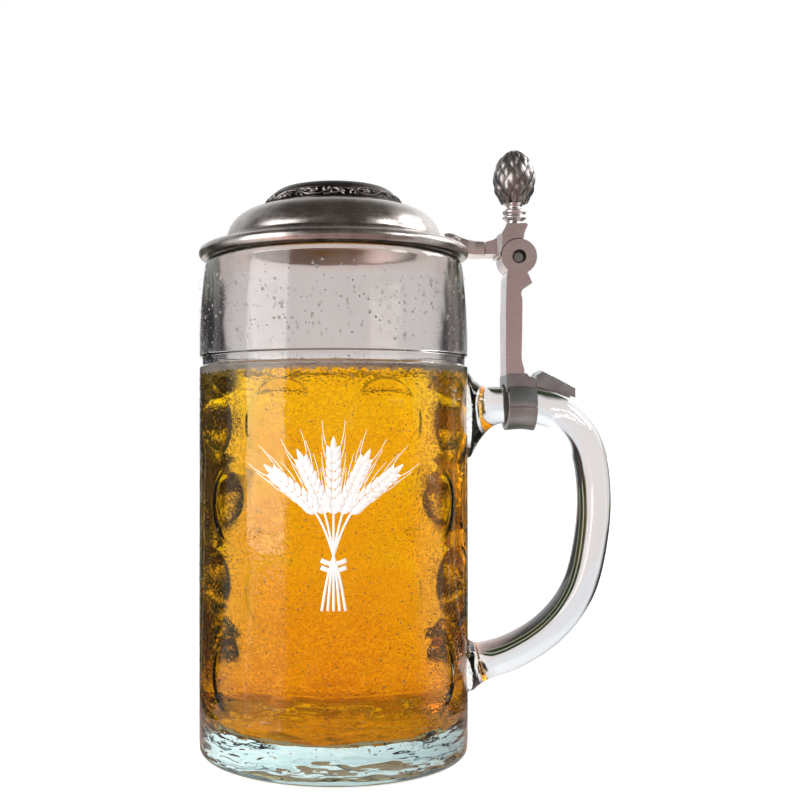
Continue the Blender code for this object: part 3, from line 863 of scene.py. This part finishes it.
def clamp_tail(look):
    """Ridged tongue with a flange along each side, behind the collar."""
    stations = (
        # x, flange z, underside z, side edge z, ridge z, half width
        (64.1, 115.6, 117.1, 119.2, 120.4, 5.4), (66.2, 115.3, 116.6, 120.6, 121.2, 5.6),
        (72.0, 114.0, 115.0, 117.8, 118.5, 5.1), (76.6, 112.3, 113.3, 115.4, 116.0, 4.5),
    )

    def corners(low, under, edge, ridge, half):
        side = [(half - 1.4, under, 0.2), (half - 1.0, low, 0.2), (half, low, 0.2), (half, edge, 0.3)]
        return side + [(0.0, ridge, 0.25)] + [(-y, z, rounding) for y, z, rounding in reversed(side)]

    rings = lofted(stations, 25, corners)
    shown(skinned("clamp_tail_fine", rings, look, 25), MUG, "pewter", "clamp_tail")


# ---- hinge


def knuckle_centres():
    pitch = KNUCKLE_WIDTH + KNUCKLE_GAP
    first = -(KNUCKLE_COUNT - 1) / 2 * pitch
    return [first + pitch * i for i in range(KNUCKLE_COUNT)]


def knuckle_steps(name, own_parity):
    """Booleans that add a piece's knuckles, clear the other piece's and bore for the pin."""
    half = KNUCKLE_WIDTH / 2
    steps = []
    for i, centre_y in enumerate(knuckle_centres()):
        if i % 2 == own_parity:
            steps.append((disc(f"{name}_knuckle_{i}", KNUCKLE_RADIUS, centre_y, half), "UNION"))
            continue
        low_y = centre_y - half - (1 * MM if i == 0 else KNUCKLE_GAP)
        high_y = centre_y + half + (1 * MM if i == KNUCKLE_COUNT - 1 else KNUCKLE_GAP)
        radius = KNUCKLE_RADIUS + KNUCKLE_GAP
        room = disc(f"{name}_room_{i}", radius, (low_y + high_y) / 2, (high_y - low_y) / 2)
        steps.append((room, "DIFFERENCE"))
    bore = disc(name + "_bore", PIN_BORE_RADIUS, 0, 2 * HARDWARE_HALF_DEPTH)
    return steps + [(bore, "DIFFERENCE")]


def bore_painted_shade(piece, look):
    """Gives the wall of the pin bore its own near-black material, as painted shade in the bore."""
    piece.data.materials.append(look)
    for face in piece.data.polygons:
        corners = [piece.data.vertices[i].co for i in face.vertices]
        reach = max(math.hypot(co.x - HINGE_X, co.z - HINGE_Z) for co in corners)
        if reach < PIN_BORE_RADIUS + 0.05 * MM:
            face.material_index = len(piece.data.materials) - 1


def hinge_strap(look, bore_shade_look):
    """Upright post with a spur on its outer edge and three knuckles at its top."""
    outline = rounded([
        (54.4, 119.5, 0.3), (60.3, 119.5, 0.2), (60.1, 121.4, 0.5), (59.3, 124.0, 1.5),
        (59.5, 134.0, 3.0), (59.6, 143.6, 1.0), (59.1, 145.0, 0.8), (59.6, 146.4, 1.0),
        (60.8, 147.4, 0.6), (62.7, 148.4, 0.1), (61.3, 151.6, 0.2), (61.0, 154.0, 0),
        (55.6, 154.0, 0), (54.6, 151.0, 1.0), (54.3, 138.0, 4.0),
    ], closed=True)
    strap = prism("hinge_strap_fine", outline, HARDWARE_HALF_DEPTH, look)
    combined(strap, knuckle_steps("strap", 0))
    bore_painted_shade(strap, bore_shade_look)
    shown(bevelled(strap, FITTING_EDGE), MUG, "pewter", "hinge_strap")


def thumb_lift(look, bore_shade_look):
    """Block with the lid's knuckles and the turned stem; a short arm reaches to the tang."""
    outline = rounded([
        (51.8, 157.0, 0), (58.6, 157.0, 0), (60.6, 160.0, 0), (60.0, 162.0, 1.0),
        (60.1, 164.2, 1.4), (61.3, 166.7, 0.1), (60.9, 167.3, 0.1), (54.6, 167.3, 0.3),
        (54.3, 166.2, 0.4), (53.2, 164.3, 0.4), (51.8, 163.6, 0.3),
    ], closed=True)
    lift = prism("thumb_lift_fine", outline, HARDWARE_HALF_DEPTH, look)
    corner = 1.5 * MM
    steps = []
    for side in (-1, 1):
        face = side * (HARDWARE_HALF_DEPTH + 0.01 * MM)
        x = 51.7 * MM
        wedge = [
            [(x, face, z), (x + corner, face, z), (x, face - side * corner, z)]
            for z in (156 * MM, 165.5 * MM)
        ]
        steps.append((skinned(f"corner_{side}", wedge), "DIFFERENCE"))
    arm = rounded([
        (48.1, 157.7, 0.3), (52.4, 157.7, 0), (52.4, 161.0, 0), (51.5, 162.9, 0.2),
        (50.6, 162.2, 1.2), (48.1, 161.6, 0.2),
    ], closed=True)
    steps.append((prism("arm_shape", arm, HARDWARE_HALF_DEPTH - corner + 0.1 * MM), "UNION"))
    stem = rounded([
        (0, 166.0), (2.7, 166.0), (2.5, 167.9, 0.3), (2.35, 169.0, 0.3), (3.3, 169.3, 0.3),
        (3.9, 169.8, 0.4), (3.5, 170.5, 0.2), (3.2, 170.8, 0.2), (3.5, 171.1, 0.2),
        (3.85, 171.9, 0.4), (3.2, 172.5, 0.3), (2.35, 172.8, 0.3), (2.3, 173.6, 0.4),
        (3.2, 174.5), (0, 174.5),
    ], steps=3)
    steps.append((turned("stem_shape", stem, segments=64, centre_x=STEM_X), "UNION"))
    combined(lift, steps + knuckle_steps("lift", 1))
    bore_painted_shade(lift, bore_shade_look)
    shown(bevelled(lift, FITTING_EDGE), LID, "pewter", "thumb_lift")


def hinge_pin(look):
    """Pin whose ends lie deep in the bores of the outer knuckles."""
    pin = disc("hinge_pin_fine", PIN_RADIUS, 0, PIN_HALF_LENGTH)
    pin.data.materials.append(look)
    shown(bevelled(pin, 0.3 * MM), MUG, "pin_metal", "hinge_pin")


# ---- lid


LID_DISH_RADIUS = 36.3 * MM


def lid(look, underside_painted_light_look):
    """Cast lid: flat top, rounded shoulder, sloping flange, a locating ring and a shallow dish inside,
    whose underside gets a much lighter copy of the pewter as painted light.
    """
    profile = rounded([
        (0, 172.2), (23.4, 172.2, 1.5), (27.4, 171.4, 2.5), (30.9, 169.2, 2.0),
        (33.0, 166.6, 1.6), (34.0, 164.2, 1.0), (34.3, 162.3, 0.5), (34.9, 161.9, 0.4),
        (38.3, 160.9, 1.0), (41.6, 159.9, 0.8), (42.7, 159.1, 0.6), (43.0, 158.0, 0.6),
        (42.8, 157.0, 0.5), (42.1, 156.3, 0.3), (37.5, 156.3, 0.2), (37.4, 155.0, 0.3),
        (36.4, 155.0, 0.3), (36.1, 157.4, 0.6), (33.5, 158.4, 1.5), (20.0, 161.4, 5.0),
        (0, 163.0),
    ], steps=6)
    piece = turned("lid_fine", profile, look, 256, sharp=35)
    # the underside of the dish gets the lighter pewter: painted light in the shaded hollow
    piece.data.materials.append(underside_painted_light_look)
    for face in piece.data.polygons:
        inside = math.hypot(face.center.x, face.center.y) < LID_DISH_RADIUS and face.normal.z < 0
        face.material_index = int(inside)
    shown(piece, LID, "pewter", "lid")


RELIEF_SECTION = (
    (13.4, 172.5), (22.4, 172.5, 0.1), (22.4, 172.8, 0.1), (22.2, 172.9, 0.1), (21.7, 174.2, 0.8),
    (20.0, 175.9, 0.1), (20.0, 176.2, 0.1), (18.9, 177.3, 0.9), (17.5, 178.2, 0.8),
    (16.2, 178.6, 0.4), (15.4, 178.4, 0.2), (15.3, 176.8), (13.4, 176.8),
)
BAND_RADIUS = 21.3 * MM
BAND_HEIGHT = 3.8 * MM


def relief_ring(look, band_look):
    """The ring under the scrolls; its domed band has the darker material."""
    profile = rounded(RELIEF_SECTION, closed=True)
    ring = turned("relief_ring_fine", profile, look, 192, loop=True, sharp=35)
    ring.data.materials.append(band_look)
    for face in ring.data.polygons:
        across = math.hypot(face.center.x, face.center.y)
        on_band = 20.0 * MM < across < 22.25 * MM and 172.85 * MM < face.center.z < 175.95 * MM
        face.material_index = int(on_band)
    shown(ring, LID, "antique_pewter", "lid_relief_ring")


def relief_place(angle, share, lift):
    """A point on the domed band: share 0 at its lower edge, 1 at its upper edge, lift above it."""
    dome = 0.45 * math.sin(math.pi * share)
    radius = (22.2 - 2.25 * share + 0.7 * dome) * MM + 0.7 * lift
    height = (172.9 + 2.95 * share + 0.5 * dome) * MM + 0.7 * lift
    return Vector((*on_circle(radius, angle), height))


def add_stroke(bm, points, width, height, stations):
    """A raised tapering stroke with a ridge, along a curve of (angle, share) points."""
    rings = []
    for i in range(stations):
        t = i / (stations - 1)
        here, along = curve_step(points, (len(points) - 1) * t)
        along = Vector((along.x * BAND_RADIUS, along.y * BAND_HEIGHT)).normalized()
        side = Vector((-along.y / BAND_RADIUS, along.x / BAND_HEIGHT)) * width * MM
        swell = max(0.12, math.sin(math.pi * (0.12 + 0.88 * t)) ** 0.7)
        ring = []
        for across, rise in ((-1.0, -0.35), (-0.75, 0.55), (0.0, 1.0), (0.75, 0.55), (1.0, -0.35)):
            angle = here.x + side.x * across * swell
            share = here.y + side.y * across * swell
            ring.append(relief_place(angle, share, height * rise * (0.5 + 0.5 * swell) * MM))
        rings.append(ring)
    add_rings(bm, rings)


VINE = ((-0.5, -0.30), (-0.25, -0.05), (0.0, 0.28), (0.25, 0.30), (0.5, 0.30))
CURL = ((0.02, 0.28), (0.18, 0.02), (0.10, -0.26), (-0.08, -0.24), (-0.10, -0.06), (0.0, -0.02))
LEAVES = (
    ((-0.28, -0.06), (-0.40, 0.16), (-0.34, 0.38)),
    ((-0.20, 0.04), (-0.22, 0.26), (-0.12, 0.42)),
    ((0.16, 0.10), (0.32, 0.02), (0.40, -0.20)),
    ((0.14, -0.10), (0.30, -0.18), (0.36, -0.40)),
    ((-0.06, -0.22), (-0.20, -0.34), (-0.36, -0.38)),
)


def leaf_scrolls(look):
    """Acanthus scrolls round the band: a waving vine with curled side shoots and pointed leaves."""
    bm = bmesh.new()
    motifs = 16
    step = math.tau / motifs
    strokes = [(VINE, 0.24, 0.34, 11), (CURL, 0.27, 0.42, 15)] + [(leaf, 0.34, 0.40, 8) for leaf in LEAVES]
    for k in range(motifs):
        flip = 1 if k % 2 == 0 else -1
        for points, width, height, stations in strokes:
            bent = [(k * step + u * step, 0.5 + flip * v) for u, v in points]
            add_stroke(bm, bent, width, height, stations)
    shown(from_bmesh("leaf_scrolls", bm, look, 50), LID, "pewter")


def medallion(look):
    profile = rounded(
        [(0, 177.1), (15.0, 177.1), (15.0, 177.7, 0.2), (14.3, 178.1, 0.4), (9.0, 178.9, 3), (0, 179.3)]
    )
    shown(turned("medallion_fine", profile, look, 128), LID, "pewter", "lid_medallion")


def tang(look):
    """Leaf-shaped tongue on the flange, hollowed along its top edge and pointed at both ends."""
    stations = (
        # x, underside z, top z, half width
        (35.6, 162.5, 165.0, 0.5), (36.6, 161.5, 165.1, 1.8), (38.2, 160.7, 164.7, 3.6),
        (40.2, 160.0, 163.7, 4.8), (42.4, 157.9, 162.9, 5.2), (45.2, 157.6, 162.4, 4.7),
        (47.8, 157.6, 162.2, 5.0),
    )

    def corners(under, top, half):
        side = [(half, under, 0.2), (half, top - 0.8, 0.3), (half * 0.6, top, 0.5)]
        other = [(-y, z, rounding) for y, z, rounding in side]
        return other[:1] + side + other[:0:-1]

    shown(skinned("tang_fine", lofted(stations, 31, corners), look, 40), LID, "pewter", "lid_tang")


# ---- pinecone


CONE_PROFILE = (
    # share of the height, radius in mm
    (0.00, 2.9), (0.035, 3.9), (0.12, 5.1), (0.26, 6.05), (0.49, 6.45), (0.67, 5.75), (0.84, 4.3),
    (0.94, 2.5), (0.98, 1.4), (1.00, 0.5),
)
CONE_SCALES = 9  # round the cone
CONE_ROWS = 2.7
CONE_HEIGHT = (PINECONE_HIGH[2] - PINECONE_LOW[2]) * 0.975


def cone_place(turn, share, lift):
    """A point on the cone: turn in scales round it, share of its height, lift above its body."""
    share = min(max(share, 0.0), 1.0)
    at = 0
    while at < len(CONE_PROFILE) - 2 and CONE_PROFILE[at + 1][0] < share:
        at += 1
    (s0, r0), (s1, r1) = CONE_PROFILE[at], CONE_PROFILE[at + 1]
    t = (share - s0) / (s1 - s0)
    smooth = t * t * (3 - 2 * t) * 0.4 + t * 0.6
    slope = (r1 - r0) / ((s1 - s0) * CONE_HEIGHT / MM)
    facing = Vector((1.0, -slope)).normalized()
    radius = (r0 + (r1 - r0) * smooth) * MM + facing.x * lift
    height = PINECONE_LOW[2] + CONE_HEIGHT * share + facing.y * lift
    angle = math.tau * turn / CONE_SCALES
    x, y = on_circle(radius, angle)
    return Vector((STEM_X + x, y, height))


def add_scale(bm, rings):
    """Closes a grid of points into a thin scale by a skirt that goes down towards the axis."""
    top = [[bm.verts.new(point) for point in ring] for ring in rings]
    last = len(rings) - 1
    for j in range(last):
        for i in range(last):
            bm.faces.new((top[j][i], top[j][i + 1], top[j + 1][i + 1], top[j + 1][i]))
    edge = top[0] + [ring[last] for ring in top[1:]]
    edge += top[last][last - 1::-1] + [ring[0] for ring in top[last - 1:0:-1]]
    lowered = []
    for vert in edge:
        inward = Vector((STEM_X - vert.co.x, -vert.co.y, 0))
        inward = inward.normalized() * min(1.0 * MM, inward.length * 0.5)
        lowered.append(bm.verts.new(vert.co + inward))
    for i in range(len(edge)):
        j = (i + 1) % len(edge)
        bm.faces.new((edge[i], edge[j], lowered[j], lowered[i]))
    bm.faces.new(lowered)


def scale_point(turn, bottom, a, b):
    """A point of a diamond scale; a and b run from 0 at its bottom corner to 1 along its two sides."""
    share = bottom + (a + b) / (2 * CONE_ROWS) * 1.06
    tip = (a + b) / 2
    bulge = math.sin(math.pi * a) * math.sin(math.pi * b)
    lift = (0.45 * tip**1.6 + 0.55 * bulge - 0.20) * MM
    taper = 1 - 0.6 * max(0.0, share - 0.8) / 0.2
    return cone_place(turn + (a - b) * 0.5 * 1.04, share, lift * taper)


def pinecone(look):
    """Diamond scales that overlap upward on an egg-shaped core, over a small flared skirt."""
    bm = bmesh.new()
    core = [
        [cone_place(i * CONE_SCALES / 40, share, -0.35 * MM) for i in range(40)]
        for share in (0.02, 0.1, 0.2, 0.35, 0.5, 0.65, 0.8, 0.9, 0.97)
    ]
    add_rings(bm, core)
    steps = [i / 6 for i in range(7)]
    for row in range(-1, int(CONE_ROWS * 2)):
        bottom = row / (2 * CONE_ROWS)
        for column in range(CONE_SCALES if bottom <= 0.95 else 0):
            turn = column + 0.5 * (row % 2)
            add_scale(bm, [[scale_point(turn, bottom, a, b) for b in steps] for a in steps])
    petals = 14
    for k in range(petals):
        turn = CONE_SCALES * k / petals
        rings = []
        for i in range(5):
            t = i / 4
            half = 0.33 * math.sin(math.pi * (0.25 + 0.6 * t))
            section = ((-1, -0.7), (-0.7, 0.15), (0, 0.4), (0.7, 0.15), (1, -0.7))
            rings.append(
                [
                    cone_place(turn + half * across, 0.10 - 0.08 * t, rise * MM + 0.5 * t * MM)
                    for across, rise in section
                ]
            )
        add_rings(bm, rings)
    shown(from_bmesh("pinecone_fine", bm, look, 50), LID, "pewter", "pinecone")


# ---- studio


FRONT_PANELS = (
    # share of the half turn from behind the stein to the camera's side, colour
    (0.43, 0.06, 0.07, 0.07), (0.47, 0.95, 1.0, 1.0), (0.57, 0.95, 1.0, 1.0),
    (0.64, 0.32, 0.24, 0.23), (1.00, 0.50, 0.37, 0.36),
)
LEVEL_PANELS = (
    (0.00, 1.15, 1.15, 1.15), (0.09, 1.10, 1.10, 1.10), (0.11, 0.035, 0.03, 0.04),
    (0.23, 0.035, 0.03, 0.04), (0.28, 0.06, 0.07, 0.07),
    *FRONT_PANELS,
)
FLOOR_PANELS = (
    # green and pale stripes behind and beside the stein, seen through beer and glass
    (0.00, 1.15, 1.15, 1.15), (0.09, 1.10, 1.10, 1.10), (0.108, 0.015, 0.045, 0.01),
    (0.146, 0.015, 0.045, 0.01), (0.152, 0.80, 0.80, 0.70), (0.160, 0.80, 0.80, 0.70),
    (0.166, 0.015, 0.045, 0.01), (0.215, 0.015, 0.045, 0.01), (0.222, 0.45, 0.46, 0.40),
    (0.230, 0.45, 0.46, 0.40), (0.237, 0.03, 0.05, 0.03), (0.284, 0.06, 0.07, 0.07),
    *FRONT_PANELS,
)
UPPER_PANELS = (
    (0.00, 1.10, 1.12, 1.12), (0.34, 1.05, 1.08, 1.08), (0.41, 0.20, 0.20, 0.19),
    (0.60, 0.09, 0.08, 0.07), (1.00, 0.07, 0.06, 0.05),
)


def panel_ring(look, x, y, panels):
    """Soft panels round the stein by direction: bright behind and at the sides, dark in between."""
    turn = look.maths("ABSOLUTE", look.maths("ARCTAN2", x, y))
    ramp = look.node("ValToRGB", {0: look.maths("DIVIDE", turn, math.pi)})
    elements = ramp.color_ramp.elements
    while len(elements) < len(panels):
        elements.new(0.5)
    for element, (position, *colour) in zip(elements, panels):
        element.position = position
        element.color = (*colour, 1)
    return ramp.outputs[0]


def world():
    """The studio: soft panels for light and reflections, plain white to the camera."""
    made = bpy.data.worlds.new("studio")
    bpy.context.scene.world = made
    made.use_nodes = True
    made.node_tree.nodes.clear()
    look = Nodes(made.node_tree)
    x, y, z = look.split(look.node("TexCoord").outputs["Generated"])
    above = panel_ring(look, x, y, UPPER_PANELS)
    above = look.blend(look.span(z, 0.0, 1.0, 0.55, 0.85), above, (0.09, 0.08, 0.07))
    upward = look.span(z, 0.0, 1.0, 0.14, 0.22)
    # the right-hand side is the lighter one, seen upward
    strength = look.span(upward, 0.9, look.span(x, 0.70, 1.5, -0.8, 0.8))
    colour = look.blend(upward, panel_ring(look, x, y, LEVEL_PANELS), above)
    lit = look.node("Background", {0: colour, 1: strength})
    seen = look.node("Background", {0: (1, 1, 1, 1), 1: 1.0})
    look.show(lit, seen, look.node("OutputWorld"))


def softbox(name, centre, target, width, height, power):
    data = bpy.data.lights.new(name, "AREA")
    data.shape = "RECTANGLE"
    data.size, data.size_y = width, height
    data.energy = power
    aim = Vector(target) - Vector(centre)
    placed(name, data, centre).rotation_euler = aim.to_track_quat("-Z", "Y").to_euler()


def floor():
    """Pale floor; in reflections and through the glass it carries on the soft panels around it, with a
    painted shadow under and near the stein.
    """
    size = FLOOR_HALF_SIZE
    bm = bmesh.new()
    section = ((-size, -0.1 * MM), (size, -0.1 * MM), (size, -10 * MM), (-size, -10 * MM))
    add_rings(bm, [[(side * size, y, z) for y, z in section] for side in (-1, 1)])
    look = Look(
        "pale_floor", Base_Color=(0.92, 0.92, 0.92, 1), Roughness=0.6, Specular_IOR_Level=0.2,
        Emission_Color=(1, 1, 1, 1), Emission_Strength=0.80,
    )
    x, y, _ = look.split(look.place())
    distance = look.length(look.node("CombineXYZ", {0: x, 1: y}).outputs[0])
    # painted shadow: darker colours under and near the stein, seen in reflections and through the glass
    beneath = look.span(distance, 0.0, 1.0, 40 * MM, 48 * MM)
    near = look.blend(beneath, (0.48, 0.56, 0.56), (0.74, 0.55, 0.50))
    warm = look.stretch(panel_ring(look, x, y, FLOOR_PANELS), (1.0, 0.93, 0.89))
    colour = look.blend(look.span(distance, 0.0, 1.0, 60 * MM, 110 * MM), near, warm)
    # a lane on the left carries on the reflection of the left softbox
    turn = look.maths("DIVIDE", look.maths("ARCTAN2", x, y), -math.pi)
    lane = look.times(look.span(turn, 0.0, 1.0, 0.60, 0.62), look.span(turn, 1.0, 0.0, 0.79, 0.81))
    lane = look.times(lane, look.span(distance, 0.0, 3.5, 90 * MM, 110 * MM))
    glow = look.node("Emission", {0: colour, 1: look.maths("ADD", lane, 0.9)})
    look.show(glow, look.shader, look.output)
    from_bmesh("floor", bm, look.material)


def camera():
    """Level view from the front, at the height of the upper part of the beer."""
    data = bpy.data.cameras.new("camera")
    data.sensor_width = 36.0
    data.lens = CAMERA_LENS
    data.shift_x, data.shift_y = CAMERA_SHIFT
    data.clip_start = 0.01
    made = placed("camera", data, CAMERA_PLACE)
    made.rotation_euler = (math.radians(90), 0, 0)
    bpy.context.scene.camera = made


PEWTERS = {
    # material: grain, light colour, dark colour, roughness range
    "turned_pewter": ("turned", (0.62, 0.575, 0.55), (0.40, 0.355, 0.335), (0.22, 0.38)),
    # painted light: a much lighter pewter that makes the strap, tang and thumb lift look lit
    "drawn_pewter_painted_light": ("drawn", (1.0, 0.95, 0.945), (0.92, 0.85, 0.84), (0.26, 0.38)),
    "clamp_pewter": ("upright", (0.62, 0.69, 0.70), (0.45, 0.49, 0.50), (0.32, 0.46)),
    "cast_pewter": ("cast", (0.45, 0.425, 0.415), (0.24, 0.22, 0.21), (0.32, 0.46)),
    "relief_pewter": ("cast", (0.33, 0.315, 0.305), (0.18, 0.17, 0.165), (0.38, 0.50)),
    # painted light: a much lighter pewter for the shaded underside of the lid
    "lid_underside_painted_light": ("turned", (0.92, 0.90, 0.89), (0.80, 0.78, 0.77), (0.34, 0.46)),
    # blackened pewter for the relief band, and also painted shade on the walls of the pin bores
    "blackened_pewter_and_bore_shade": ("cast", (0.045, 0.035, 0.035), (0.015, 0.012, 0.012), (0.35, 0.55)),
    "antique_pewter_fine": ("turned", (0.15, 0.125, 0.12), (0.06, 0.045, 0.045), (0.30, 0.50)),
}
SOFTBOXES = {
    # lamp: centre, target, width, height, power
    "front_left": ((-0.55, -0.36, 0.16), (0, 0, 0.08), 0.42, 0.75, 4.4),
    "upper_right": ((0.55, 0.12, 0.47), (0.05, 0, 0.165), 0.26, 0.22, 2.0),
    "right": ((0.50, -0.28, 0.44), (0.05, 0, 0.165), 0.16, 0.10, 0.7),
}


def main():
    pewter = {name: pewter_look(name, *values) for name, values in PEWTERS.items()}
    turned_pewter = pewter["turned_pewter"]
    drawn = pewter["drawn_pewter_painted_light"]
    upright = pewter["clamp_pewter"]
    # black: the relief band's blackened pewter, and painted shade in the pin bores
    black = pewter["blackened_pewter_and_bore_shade"]
    glass_mug(glass_look())
    beer(beer_look())
    foam_white = foam_look()
    condensation(water_look(), foam_white)
    foam(foam_white)
    emblem(print_look())
    clamp_liner(cushion_look())
    clamp_half("saddle_fine", "clamp_saddle", upright)
    clamp_half("band_fine", "clamp_band", upright)
    clamp_tail(upright)
    hinge_strap(drawn, black)
    hinge_pin(upright)
    lid(turned_pewter, pewter["lid_underside_painted_light"])
    relief_ring(pewter["antique_pewter_fine"], black)
    leaf_scrolls(pewter["relief_pewter"])
    medallion(turned_pewter)
    tang(drawn)
    thumb_lift(drawn, black)
    pinecone(pewter["cast_pewter"])

    world()
    floor()
    for name, values in SOFTBOXES.items():
        softbox(name, *values)
    camera()
    bpy.context.scene.view_settings.view_transform = "Standard"


main()
